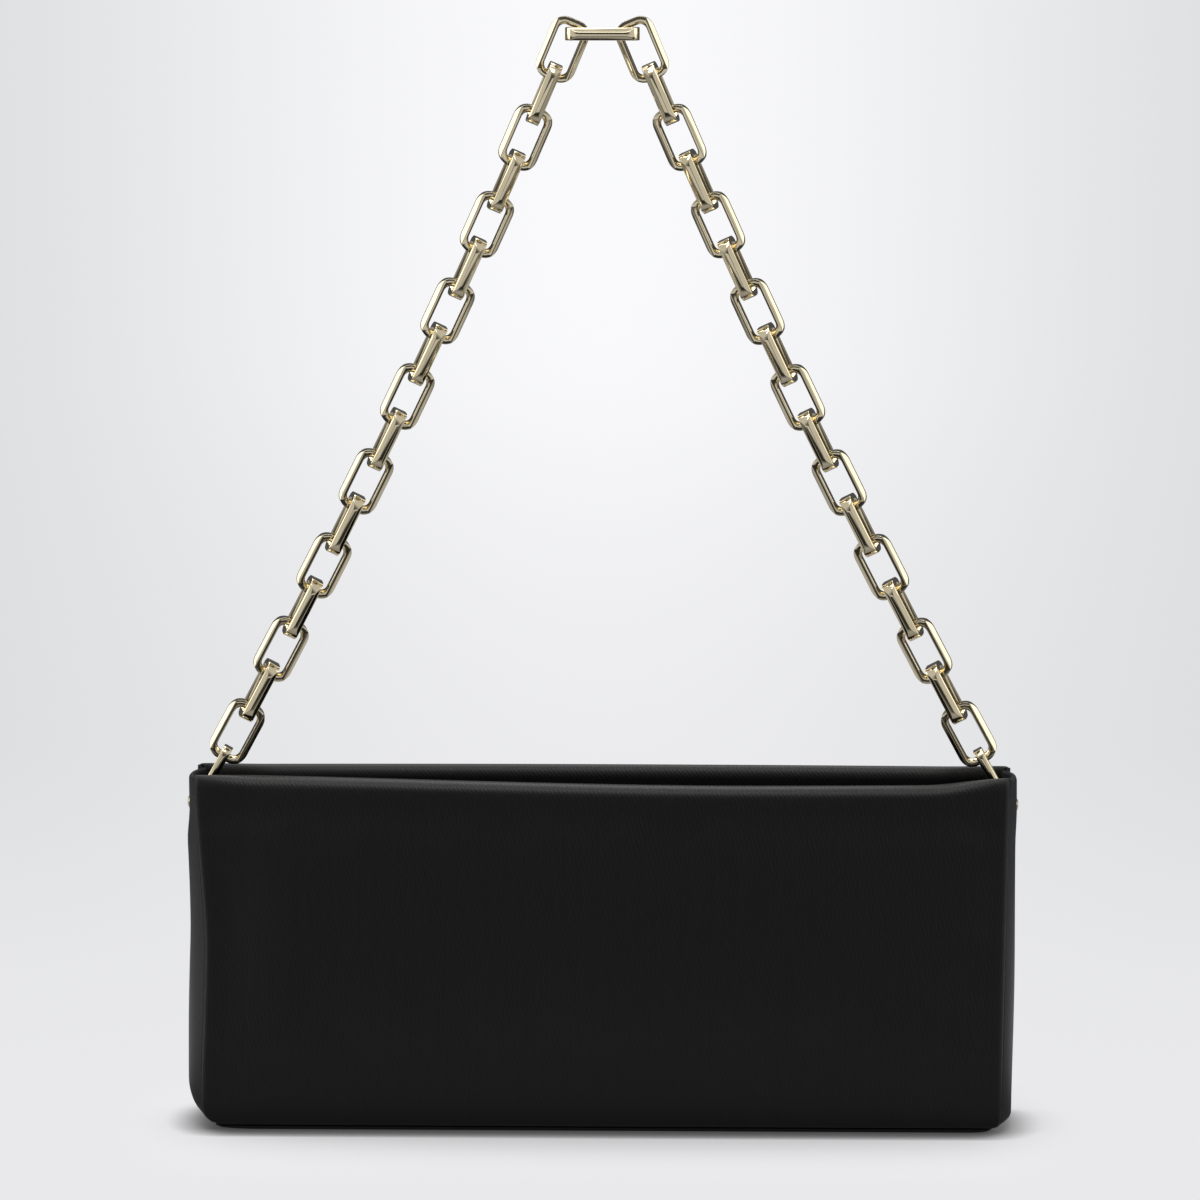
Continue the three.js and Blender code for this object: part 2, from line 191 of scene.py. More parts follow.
# Link
LINK_BAR = 2.6 * MM
LINK_BAND = 4.2 * MM
LINK_CORNER = 4.8 * MM  # outside
LINK_FLAT = 1.3 * MM  # flat left between the two chamfers of a long bar
LINK_CHAMFER = 1.3 * MM  # chamfer seen from the link's face
LINK_HOLLOW = (0.3 * MM, 0.8 * MM, 1.35 * MM)  # inner edges off at the sides, at the ends and into the band
RING_BAR = 1.8 * MM
RING_BAND = 3 * MM
RING_CORNER = 3.2 * MM
RING_FLAT = 1 * MM
RING_CHAMFER = 0.6 * MM
RING_HOLLOW = (0.2 * MM, 0.45 * MM, 0.9 * MM)
LINK_EDGE = 0.22 * MM  # polished-off edge
CORNER_STEPS = 9
CUT_THRESHOLD = 1e-7  # Blender's own is a tenth of a millimetre
MERGE_THRESHOLD = 5e-7
HAIR = 0.01 * MM  # for picking and merging points

# Snap
SNAP_SIDES = 48
SNAP_BORDER = 1.3 * MM
SNAP_SUNK = 0.5 * MM
SNAP_RING = 2.6 * MM
SNAP_POST = 0.3 * MM
SNAP_EDGE = 0.15 * MM

# Tab and stud
TAB_THICK = 1.1 * MM
TAB_STEPS = 24
TAB_WRAP = math.radians(60)  # past its half turn, before the tail runs back
TAB_LAP = 1.04  # thicknesses from the middle of one ply to that of the other
TAB_EDGE = 0.2 * MM
STUD_SIDES = 40
STUD_HEAD = 1 * MM
STUD_FOOT = 0.8 * MM
STUD_SHANK = 0.9 * MM  # radius
STUD_DOME = [(0.45, 1), (0.35, 0.82), (0.2, 0.6)]  # steps of the head: share of its height, and narrowing
STUD_EDGE = 0.1 * MM

# Weave of a cloth
SLUB_WIDTH = 3  # threads
SLUB_STRETCH = 0.06  # its width over its length
SLUB_HEIGHT = 0.6  # against the weave's own height
WEAVE_PAINTED_SHADE_TONES = (0.1, 1.3)  # the heights that are darkest and palest: painted shade in the weave's dips, with the yarns' own uneven tone
THREAD_RELIEF = 0.4  # against a thread's width

# Stage, metres
FLOOR_WIDTH = 16
FLOOR_FRONT = 9
SWEEP_START = 3  # the camera of a view from behind stands nearer than this
SWEEP_RADIUS = 1.2
SWEEP_STEPS = 48
SWEEP_RISE = 2
PAPER_NEAR = "#e9e9eb"
# painted shade at the paper's sides and painted light down its middle, not colours of the paper itself
PAPER_PAINTED_SIDE_SHADE = "#dddee0"
PAPER_PAINTED_MIDDLE_LIGHT = "#fafafc"
PAPER_SHADED = "#d0d0d2"
PAINTED_SIDE_SHADE_REACHED = 1  # behind the bag, where the painted shade at the paper's sides is full
PAINTED_MIDDLE_LIGHT_REACHED = 3.8  # and where the painted light down its middle is full
# a painted beam of light along the floor, from no lamp: it spreads from this far in front, leans left and is
# this wide a metre on
PAINTED_BEAM_FRONT = 2.2
PAINTED_BEAM_LEAN = 0.028
PAINTED_BEAM_SPREAD = 0.11
# painted reflection: how bright the floor is painted in reflections only, from front to back: pale, a painted
# dark band, pale, dark at the bag and behind it pale, then dark
PAINTED_REFLECTION_BANDS = [(-1.5, 0.9), (-1.1, 0.4), (-0.95, 0.06), (-0.5, 0.03), (-0.35, 0.15), (-0.2, 0.55), (-0.06, 0.4),
            (0.02, 0.1), (0.1, 0.65), (0.25, 0.7), (0.5, 0.12)]
# the bag's shadow on the paper: the lamps' real shadow shows in full over this much of its foot, then a
# painted fade blends it into the even glow, sooner at the ends
SHADOW_CORE = (0.119, 0.012, 0)
SHADOW_NARROW = (2.2, 1, 1)
SHADOW_PAINTED_FADE = (0.015, 0.1)
SHADOW_GLOW = 0.08  # share of the paper's glow that is left in it
PAINTED_CONTACT_SHADE_REACH = 12 * MM  # the deepest painted shade, darkened into the paper's colour where paper and bag touch
PAINTED_CONTACT_SHADE_TILT = 0.7  # the painted shade is reckoned as if open to the back and upwards alike
PAINTED_CONTACT_SHADE_DEPTH = 2.4
PAINTED_CONTACT_SHADE_SAMPLES = 8
# the tent: how far round from the front it turns pale, and how bright it is before and after
TENT_TURN = (-0.98, -0.7)
TENT_LIGHT = (0.1, 0.8)
LAMP_AIM = Vector((0, 0, 0.15))
SOFTBOXES = [  # place, size and watts
    ("key_softbox", (-0.1, -0.95, 1.55), (1.5, 0.7), 10),
    ("top_softbox", (-0.2, 0.4, 1.7), (1.8, 1.2), 21),
    ("left_softbox", (-1.5, 0.1, 0.6), (1.2, 1.3), 7),
    ("right_softbox", (1.5, 0.1, 0.6), (1.2, 1.3), 5.5),
]

# Camera, set against the photo
CAMERA_TARGET = Vector((-0.8, 0, 175)) * MM
CAMERA_DISTANCE = 2200 * MM
CAMERA_AZIMUTH = math.radians(1.6)
CAMERA_ELEVATION = math.radians(6.5)
CAMERA_LENS = 199  # millimetres
CAMERA_SENSOR = 36
CAMERA_REACH = 50  # metres


def lerp(low, high, share):
    return low + (high - low) * share


def ease(share):
    share = min(1, max(0, share))
    return share * share * (3 - 2 * share)


def hump(value, middle, width):
    return math.exp(-(((value - middle) / width) ** 2))


# Modelling helpers

def start(operator, name, **settings):
    """Adds a primitive with nothing else selected, and names it."""
    bpy.ops.object.select_all(action="DESELECT")
    operator(**settings)
    piece = bpy.context.active_object
    piece.name = name
    piece.data.name = name
    return piece


def pick(piece, kind, test):
    """In edit mode, selects only the faces, edges or vertices that pass the test."""
    bpy.ops.mesh.select_mode(type=kind)
    bpy.ops.mesh.select_all(action="DESELECT")
    shape = bmesh.from_edit_mesh(piece.data)
    parts = {"FACE": shape.faces, "EDGE": shape.edges, "VERT": shape.verts}[kind]
    for part in parts:
        if test(part):
            part.select_set(True)
    bmesh.update_edit_mesh(piece.data)


def finish_with(piece, kind, **settings):
    """Adds a modifier and applies it."""
    bpy.ops.object.select_all(action="DESELECT")
    piece.select_set(True)
    bpy.context.view_layer.objects.active = piece
    made = piece.modifiers.new(kind.lower(), kind)
    for name, value in settings.items():
        setattr(made, name, value)
    bpy.ops.object.modifier_apply(modifier=made.name)


def extrude(*way):
    bpy.ops.mesh.extrude_region_move(TRANSFORM_OT_translate={"value": way})


def bevel_edges(piece, width, degrees):
    """Takes off the edges that are sharper than this angle."""
    finish_with(
        piece, "BEVEL", width=width, segments=2, limit_method="ANGLE", angle_limit=math.radians(degrees)
    )


def merge(piece):
    """Merges the points that a bevel left on one spot."""
    bpy.ops.object.mode_set(mode="EDIT")
    bpy.ops.mesh.select_all(action="SELECT")
    bpy.ops.mesh.remove_doubles(threshold=MERGE_THRESHOLD)
    bpy.ops.object.mode_set(mode="OBJECT")


def smooth(piece, degrees):
    bpy.ops.object.select_all(action="DESELECT")
    piece.select_set(True)
    bpy.context.view_layer.objects.active = piece
    bpy.ops.object.shade_smooth_by_angle(angle=math.radians(degrees))


def loft(name, columns, rows, place, flat):
    """A cloth of columns by rows faces, cut to flat, each point where place(across, along) puts it."""
    cloth = start(
        bpy.ops.mesh.primitive_grid_add, name, x_subdivisions=columns, y_subdivisions=rows, size=1
    )
    for corner in cloth.data.uv_layers.active.data:
        corner.uv = (corner.uv[0] * flat[0], corner.uv[1] * flat[1])
    for point in cloth.data.vertices:
        point.co = place(point.co.x + 0.5, point.co.y + 0.5)
    bpy.ops.object.shade_smooth()
    return cloth


def half_turn(piece):
    """Turns what was modelled at the front or the left to the back or the right."""
    piece.data.transform(Matrix.Rotation(math.pi, 4, "Z"))


def dress(piece, body, slot, material, *nodes):
    """Gives a finished piece its material and its body, and hides the frame's nodes that it stands for."""
    piece.data.materials.clear()
    piece.data.materials.append(material)
    if body:
        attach(piece, body)
    if nodes:
        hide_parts(*nodes)


# Materials

def linear(code):
    """An sRGB hex colour as linear red, green, blue and alpha."""
    shares = [int(code[i:i + 2], 16) / 255 for i in (1, 3, 5)]
    return [s / 12.92 if s <= 0.04045 else ((s + 0.055) / 1.055) ** 2.4 for s in shares] + [1]


def add(tree, kind, sockets=None, **settings):
    """Adds a node with its settings, and sets or links each socket named."""
    made = tree.nodes.new(kind)
    for name, value in settings.items():
        setattr(made, name, value)
    for name, value in (sockets or {}).items():
        if isinstance(value, bpy.types.NodeSocket):
            tree.links.new(value, made.inputs[name])
        else:
            made.inputs[name].default_value = value
    return made


def new_material(name, **shader):
    """A material whose shader has these constant sockets."""
    made = bpy.data.materials.new(name)
    made.use_nodes = True
    surface = made.node_tree.nodes["Principled BSDF"]
    for socket, value in shader.items():
        surface.inputs[socket.replace("_", " ")].default_value = value
    return made, made.node_tree, surface


def woven(name, thread, floats, step, light, dark, relief, **shader):
    """Cloth whose warp threads float over some picks and dip under one, a step further on each thread."""
    made, tree, surface = new_material(name, **shader)
    cut = add(tree, "ShaderNodeUVMap", uv_map="UVMap")
    axes = add(tree, "ShaderNodeSeparateXYZ", {"Vector": cut.outputs["UV"]})
    across = add(tree, "ShaderNodeMath", {0: axes.outputs["X"], 1: thread}, operation="DIVIDE")
    along = add(tree, "ShaderNodeMath", {0: axes.outputs["Y"], 1: thread}, operation="DIVIDE")
    warp = add(tree, "ShaderNodeMath", {0: across.outputs[0]}, operation="FLOOR")
    shift = add(tree, "ShaderNodeMath", {0: warp.outputs[0], 1: step, 2: along.outputs[0]},
                operation="MULTIPLY_ADD")
    picks = add(tree, "ShaderNodeMath", {0: shift.outputs[0], 1: floats + 1}, operation="FLOORED_MODULO")
    # each float is a low arch over its picks, and each thread a round ridge beside the next
    arch = add(tree, "ShaderNodeMath", {0: picks.outputs[0], 1: math.pi / (floats + 1)}, operation="MULTIPLY")
    lift = add(tree, "ShaderNodeMath", {0: arch.outputs[0]}, operation="SINE")
    turn = add(tree, "ShaderNodeMath", {0: across.outputs[0], 1: math.pi}, operation="MULTIPLY")
    wave = add(tree, "ShaderNodeMath", {0: turn.outputs[0]}, operation="SINE")
    ridge = add(tree, "ShaderNodeMath", {0: wave.outputs[0]}, operation="ABSOLUTE")
    weave = add(tree, "ShaderNodeMath", {0: lift.outputs[0], 1: ridge.outputs[0]}, operation="MULTIPLY")
    # yarns vary a little in thickness along their length
    stretch = add(tree, "ShaderNodeMapping", {"Vector": cut.outputs["UV"], "Scale": (1, SLUB_STRETCH, 1)})
    slub = add(tree, "ShaderNodeTexNoise",
               {"Vector": stretch.outputs["Vector"], "Scale": 1 / (SLUB_WIDTH * thread), "Detail": 3})
    height = add(tree, "ShaderNodeMath", {0: slub.outputs["Fac"], 1: SLUB_HEIGHT, 2: weave.outputs[0]},
                 operation="MULTIPLY_ADD")
    # colour follows the height: painted shade where the weave dips between threads, paler on the floats
    tone = add(tree, "ShaderNodeMapRange",
               {"Value": height.outputs[0], "From Min": WEAVE_PAINTED_SHADE_TONES[0], "From Max": WEAVE_PAINTED_SHADE_TONES[1]})
    colour = add(tree, "ShaderNodeMix",
                 {0: tone.outputs[0], 6: linear(dark), 7: linear(light)}, data_type="RGBA")
    tree.links.new(colour.outputs[2], surface.inputs["Base Color"])
    bump = add(tree, "ShaderNodeBump",
               {"Height": height.outputs[0], "Strength": relief, "Distance": THREAD_RELIEF * thread})
    tree.links.new(bump.outputs["Normal"], surface.inputs["Normal"])
    return made


def black_satin():
    # Warp-faced satin over thin foam: long floats give a soft broad sheen. Real threads are about 0.1 mm;
    # they are drawn at 0.5 mm so that the weave shows.
    return woven("black_satin_weave", 0.5 * MM, 7, 3, "#131313", "#0a0a0a", 0.3, Roughness=0.37,
                 Specular_IOR_Level=0.27, Sheen_Weight=0.01, Sheen_Roughness=0.3)


def black_lining():
    # Plain-woven cotton lining: matt, with an even over-and-under grain, drawn at 0.6 mm.
    return woven("black_cotton_lining", 0.6 * MM, 1, 1, "#242325", "#151416", 0.5, Roughness=0.85,
                 Specular_IOR_Level=0.25, Sheen_Weight=0.2, Sheen_Roughness=0.5)


def champagne_gold():
    # Brass plated with pale gold and polished: mirror-like, with a breath of haze and hairline scratches.
    made, tree, surface = new_material("champagne_gold_plating", Metallic=1)
    place = add(tree, "ShaderNodeTexCoord")
    haze = add(tree, "ShaderNodeTexNoise",
               {"Vector": place.outputs["Object"], "Scale": 1 / (4 * MM), "Detail": 2})
    tint = add(tree, "ShaderNodeMix",
               {0: haze.outputs["Fac"], 6: linear("#d3c6a5"), 7: linear("#e2d8bd")}, data_type="RGBA")
    tree.links.new(tint.outputs[2], surface.inputs["Base Color"])
    hairline = add(tree, "ShaderNodeMapping", {"Vector": place.outputs["Object"], "Scale": (1, 1, 0.05)})
    scratch = add(tree, "ShaderNodeTexNoise",
                  {"Vector": hairline.outputs["Vector"], "Scale": 1 / (0.3 * MM), "Detail": 1})
    rough = add(tree, "ShaderNodeMapRange",
                {"Value": scratch.outputs["Fac"], "From Min": 0.3, "From Max": 0.8,
                 "To Min": 0.05, "To Max": 0.09})
    tree.links.new(rough.outputs[0], surface.inputs["Roughness"])
    return made


def black_leather():
    # Smooth calf with fine pores.
    made, tree, surface = new_material("black_calf_leather", Specular_IOR_Level=0.5)
    place = add(tree, "ShaderNodeTexCoord")
    grain = add(tree, "ShaderNodeTexVoronoi",
                {"Vector": place.outputs["Object"], "Scale": 1 / (0.35 * MM)})
    tint = add(tree, "ShaderNodeMix",
               {0: grain.outputs["Distance"], 6: linear("#0e0d0d"), 7: linear("#1e1c1b")}, data_type="RGBA")
    tree.links.new(tint.outputs[2], surface.inputs["Base Color"])
    rough = add(tree, "ShaderNodeMapRange",
                {"Value": grain.outputs["Distance"], "To Min": 0.28, "To Max": 0.42})
    tree.links.new(rough.outputs[0], surface.inputs["Roughness"])
    bump = add(tree, "ShaderNodeBump",
               {"Height": grain.outputs["Distance"], "Strength": 0.25, "Distance": 0.05 * MM})
    tree.links.new(bump.outputs["Normal"], surface.inputs["Normal"])
    return made


def bag_board():
    # Uncoated grey board: pressed fibres and flecks, matt.
    made, tree, surface = new_material("grey_bag_board", Roughness=0.92, Specular_IOR_Level=0.2)
    place = add(tree, "ShaderNodeTexCoord")
    fibre = add(tree, "ShaderNodeTexNoise",
                {"Vector": place.outputs["Object"], "Scale": 1 / (1.2 * MM), "Detail": 5, "Roughness": 0.7})
    tint = add(tree, "ShaderNodeMix",
               {0: fibre.outputs["Fac"], 6: linear("#756d60"), 7: linear("#a49c8d")}, data_type="RGBA")
    tree.links.new(tint.outputs[2], surface.inputs["Base Color"])
    bump = add(tree, "ShaderNodeBump",
               {"Height": fibre.outputs["Fac"], "Strength": 0.3, "Distance": 0.1 * MM})
    tree.links.new(bump.outputs["Normal"], surface.inputs["Normal"])
    return made


def nickel():
    # Nickel-plated steel snap, turned and a little worn.
    made, tree, surface = new_material("nickel_plated_steel", Metallic=1)
    place = add(tree, "ShaderNodeTexCoord")
    wear = add(tree, "ShaderNodeTexNoise",
               {"Vector": place.outputs["Object"], "Scale": 1 / (2 * MM), "Detail": 4})
    tint = add(tree, "ShaderNodeMix",
               {0: wear.outputs["Fac"], 6: linear("#a7a49c"), 7: linear("#c9c6be")}, data_type="RGBA")
    tree.links.new(tint.outputs[2], surface.inputs["Base Color"])
    rough = add(tree, "ShaderNodeMapRange", {"Value": wear.outputs["Fac"], "To Min": 0.2, "To Max": 0.38})
    tree.links.new(rough.outputs[0], surface.inputs["Roughness"])
    return made


SATIN = black_satin()
COTTON = black_lining()
GOLD = champagne_gold()
LEATHER = black_leather()
GREY_BOARD = bag_board()
NICKEL = nickel()


# Shape of the body

def wall_half(z):
    return lerp(WALL_FOOT_HALF, WALL_TOP_HALF, z / RIM_HEIGHT)


def corner_in(z, end):
    """How far the bag's lower corner at this end rounds in at this height."""
    wide, high = CORNER[end]
    below = min(1, max(0, 1 - (z - FOOT_LOW) / high))
    return wide * (1 - math.sqrt(1 - below * below))


def left_pull(z):
    return LEFT_PULL * ease((RIM_HEIGHT - z) / PULL_RISE) * ease(z / PULL_FALL)


def crown(x, z):
    return max(0, 1 - (x / wall_half(z)) ** 2)


def wall_reach(x, z):
    """Half the bag's depth at x and z, to the outer face of a wall."""
    up = min(1, max(0, z / RIM_HEIGHT))
    lean = lerp(FOOT_HALF_DEPTH, MOUTH_END_HALF, ease(up))
    return lean + crown(x, z) * (MOUTH_BOW * up * up + BELLY * math.sin(math.pi * up))


def front_sag(x):
    return FRONT_SAG * ease((WALL_TOP_HALF + x) / SAG_LEFT_RUN) * ease((WALL_TOP_HALF - x) / SAG_RIGHT_RUN)


def back_sag(x):
    return BACK_SAG * crown(x, RIM_HEIGHT)


def wall_point(x, z, inward, sag):
    """A point of the front wall, inward from its outer face, with the rim's sag."""
    return Vector((x, inward - wall_reach(x, z), z - sag(x) * (z / RIM_HEIGHT) ** 2))


def slack(x, z):
    """How the foam and cloth of the front wall lie off the plain form, outwards."""
    high = math.sin(math.pi * min(1, max(0, z / RIM_HEIGHT)))
    beside_seam = sum(out * hump(x, middle, width) for out, middle, width in BESIDE_SEAM)
    waves = LONG_WAVE * math.sin(x / LONG_WAVE_RUN + LONG_WAVE_START)
    waves += SHORT_WAVE * math.sin(x / SHORT_WAVE_RUN + z / SHORT_WAVE_SLANT)
    return high * (beside_seam + waves)


def skin_rows():
    """Each row of a wall's skin as its height, its tuck at the foot and its depth in the rim's roll."""
    rows = []
    for i in range(FOOT_ROWS):
        turn = RIGHT_ANGLE * (1 - i / FOOT_ROWS)
        rows.append((FOOT_LOW + FOOT_RISE * (1 - math.sin(turn)), FOOT_TUCK * (1 - math.cos(turn)), 0))
    for i in range(FACE_ROWS):
        rows.append((lerp(FOOT_LOW + FOOT_RISE, RIM_HEIGHT - RIM_DROP, i / FACE_ROWS), 0, 0))
    for i in range(RIM_ROWS + 1):
        turn = math.pi * i / RIM_ROWS
        drop, depth = (RIM_DROP, RIM_DEPTH) if turn < RIGHT_ANGLE else (LIP_DROP, LIP_DEPTH)
        rows.append((RIM_HEIGHT - drop * (1 - math.sin(turn)), 0, RIM_DEPTH - depth * math.cos(turn)))
    for i in range(1, LIP_ROWS + 1):
        share = i / LIP_ROWS
        down = lerp(LIP_DROP, LIP_END, share)
        rows.append((RIM_HEIGHT - down, 0, RIM_DEPTH + LIP_DEPTH - LIP_SEWN * share))
    return rows


def settle(cloth, columns, rows):
    """Lets the satin, cut a little full, find its own lie between its seams, by cloth simulation."""
    plain = [point.co.copy() for point in cloth.data.vertices]
    sewn = cloth.vertex_groups.new(name="sewn")
    for point in cloth.data.vertices:
        row, column = divmod(point.index, columns + 1)
        from_side = min(column, columns - column) / SEWN_COLUMNS
        from_foot = (row - FOOT_ROWS) / SEWN_ROWS
        from_rim = (FOOT_ROWS + FACE_ROWS - row) / SEWN_ROWS
        sewn.add([point.index], 1 - ease(min(from_side, from_foot, from_rim)), "REPLACE")
    drape = cloth.modifiers.new("drape", "CLOTH")
    drape.settings.vertex_group_mass = sewn.name
    drape.settings.quality = SETTLE_QUALITY
    drape.settings.mass = SETTLE_MASS
    drape.settings.bending_stiffness = SETTLE_BENDING
    drape.settings.shrink_min = -SETTLE_FULLNESS
    drape.settings.use_pressure = True
    drape.settings.uniform_pressure_force = SETTLE_PRESSURE
    drape.settings.effector_weights.gravity = SETTLE_WEIGHT
    drape.point_cache.frame_end = SETTLE_FRAMES
    for step in range(1, SETTLE_FRAMES + 1):
        bpy.context.scene.frame_set(step)
    bpy.ops.object.modifier_apply(modifier=drape.name)
    bpy.context.scene.frame_set(1)
    cloth.vertex_groups.clear()
    for point, before in zip(cloth.data.vertices, plain):
        moved = point.co.y - before.y
        most = SETTLE_OUT if moved < 0 else SETTLE_IN
        point.co = before + Vector((0, most * math.tanh(moved / most), 0))


def wall_skin(side, sag, pull, turned):
    """The padded satin of a wall, modelled at the front: it turns under at the foot and over at the rim."""
    rows = skin_rows()
    columns = SKIN_COLUMNS + 2 * EDGE_COLUMNS

    def place(across, along):
        z, tuck, roll = rows[round(along * (len(rows) - 1))]
        column = round(across * columns) - columns / 2
        half = wall_half(z) - corner_in(z, LEFT if (column < 0) != turned else RIGHT)
        if column < 0:
            half -= pull(z)
        past = max(0, abs(column) - SKIN_COLUMNS / 2) / EDGE_COLUMNS
        turn = RIGHT_ANGLE * past
        x = (half - EDGE_ROUND) * min(1, abs(column) * 2 / SKIN_COLUMNS) + EDGE_ROUND * math.sin(turn)
        pinch = lerp(RIM_PINCHED, 1, ease((half - x) / RIM_PINCH))
        inward = tuck + roll * pinch + EDGE_TUCK * (1 - math.cos(turn))
        x = math.copysign(x, column)
        point = wall_point(x, z, inward, sag)
        if roll == 0:
            point.y -= slack(x, z)
        return point

    flat = (2 * WALL_TOP_HALF, RIM_HEIGHT + LIP_END + FOOT_TUCK)
    skin = loft(f"{side}_wall_satin", columns, len(rows) - 1, place, flat)
    settle(skin, columns, len(rows) - 1)
    finish_with(skin, "SOLIDIFY", thickness=SKIN, offset=-1)
    finish_with(skin, "SUBSURF", levels=1, render_levels=1)
    return skin


def inner_half(z):
    return wall_half(z) - SEAM - GUSSET - LINING - 2 * GAP


def wall_layer(name, inward, low, high, sag, half=inner_half, hem=0):
    """A flat cloth inside the front wall, from low to high."""

    def place(across, along):
        z = lerp(low, high, along)
        x = (2 * across - 1) * half(z)
        fold = hem if along > HEM_FROM else 0
        return wall_point(x, z, inward + fold, sag)

    flat = (2 * half((low + high) / 2), high - low)
    cloth = loft(name, LAYER_COLUMNS, LAYER_ROWS, place, flat)
    finish_with(cloth, "SOLIDIFY", thickness=LINING, offset=-1)
    return cloth, flat


def make_wall(side, sag, pull, turned):
    body = f"{side}_wall"
    skin = wall_skin(side, sag, pull, turned)
    start_in = PANEL + BOARD + 2 * GAP
    join = RIM_HEIGHT - FACING_HEIGHT
    facing, facing_cut = wall_layer(
        f"{side}_facing_satin", start_in, join, RIM_HEIGHT - FACING_DROP, sag
    )
    lining, lining_cut = wall_layer(
        f"{side}_lining_cotton", start_in, BASE_TOP + LINING_LIFT, join - GAP, sag
    )
    made = [skin, facing, lining]
    if turned:
        pocket, pocket_cut = wall_layer(
            "slip_pocket_cotton", LAYERS + GAP, POCKET_FOOT, POCKET_TOP, sag,
            lambda z: POCKET_HALF_WIDTH, POCKET_HEM,
        )
        made.append(pocket)
        for piece in made:
            half_turn(piece)
        dress(pocket, body, "black_lining", COTTON, "slip_pocket")
    dress(skin, body, "black_satin", SATIN, f"{side}_panel")
    dress(facing, body, "black_satin", SATIN, f"{side}_facing")
    dress(lining, body, "black_lining", COTTON, f"{side}_lining")


make_wall("front", front_sag, left_pull, False)
make_wall("back", back_sag, lambda z: 0, True)


# Base

def slab(name, size, middle):
    """A slab with rounded corners, left in edit mode."""
    piece = start(bpy.ops.mesh.primitive_cube_add, name, size=1)
    bpy.ops.object.mode_set(mode="EDIT")
    bpy.ops.transform.resize(value=size)
    bpy.ops.transform.translate(value=middle)
    pick(piece, "EDGE", lambda e: abs(e.verts[0].co.z - e.verts[1].co.z) > MM)
    bpy.ops.mesh.bevel(offset=BASE_CORNER, segments=BASE_CORNER_STEPS, affect="EDGES")
    return piece


def make_base():
    thick = FOOT_LOW - BASE_CLEAR
    left, right = (end * (BASE_HALF_WIDTH - BASE_END[end]) for end in (LEFT, RIGHT))
    half_depth = FOOT_HALF_DEPTH - FOOT_TUCK - BASE_BEHIND
    middle = (left + right) / 2
    skin = slab("base_satin", (right - left, 2 * half_depth, thick), (middle, 0, thick / 2))
    pick(skin, "FACE", lambda f: abs(f.normal.z) > 0.9)
    bpy.ops.mesh.bevel(offset=BASE_EDGE, segments=BASE_EDGE_STEPS, affect="EDGES")
    for end, limit in ((LEFT, left), (RIGHT, right)):
        for i in range(BASE_END_CUTS):
            cut = limit - end * BASE_THINNING[end] * (1 - i / BASE_END_CUTS)
            bpy.ops.mesh.select_all(action="SELECT")
            bpy.ops.mesh.bisect(plane_co=(cut, 0, 0), plane_no=(1, 0, 0), threshold=CUT_THRESHOLD)
    bpy.ops.object.mode_set(mode="OBJECT")
    for point in skin.data.vertices:
        end, limit = (LEFT, left) if point.co.x < 0 else (RIGHT, right)
        past = max(0, 1 - end * (limit - point.co.x) / BASE_THINNING[end])
        point.co.z = thick - (thick - point.co.z) * math.sqrt(1 - BASE_THINNED * past * past)
    smooth(skin, 40)
    for corner, loop in zip(skin.data.uv_layers.active.data, skin.data.loops):
        point = skin.data.vertices[loop.vertex_index].co
        corner.uv = (point.x, point.y + point.z)
    dress(skin, "bag", "black_satin", SATIN, "base_panel")

    low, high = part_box("base_board")
    board = slab(
        "base_grey_board", (right - left - BASE_BOARD_SHORT, high.y - low.y, high.z - low.z),
        (middle, 0, (low.z + high.z) / 2),
    )
    bpy.ops.object.mode_set(mode="OBJECT")
    smooth(board, 40)
    dress(board, "bag", "stiffener_board", GREY_BOARD, "base_board")

    low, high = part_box("base_lining")
    flat = (high.x - low.x, high.y - low.y)

    def place(across, along):
        sag = BASE_LINING_SAG * math.sin(math.pi * across) * math.sin(math.pi * along)
        return Vector((lerp(low.x, high.x, across), lerp(low.y, high.y, along), high.z - sag))

    cloth = loft("base_lining_cotton", LAYER_COLUMNS, BASE_LINING_ROWS, place, flat)
    finish_with(cloth, "SOLIDIFY", thickness=LINING, offset=-1)
    dress(cloth, "bag", "black_lining", COTTON, "base_lining")
    return board


base_board = make_base()
for board in ("front_board", "back_board"):
    frame["nodes"][board].data.materials.clear()
    frame["nodes"][board].data.materials.append(GREY_BOARD)


# Gussets, each in a front and a back half that meet on the middle plane

def gusset_bulge(z, end):
    start_z, rise = GUSSET_SWELL[end]
    below = min(1, max(0, 1 - (z - start_z) / rise))
    swell = math.sqrt(1 - below * below)
    plain = lerp(GUSSET_FOOT_BULGE, GUSSET_TOP_BULGE, z / RIM_HEIGHT)
    full = GUSSET_FULL[end] * lerp(GUSSET_FULL_FOOT, 1, ease(z / GUSSET_FULL_RISE))
    full = lerp(full, GUSSET_TIED, ease((z - GUSSET_TIED_FROM) / GUSSET_TIED_RUN))
    return plain * full * swell


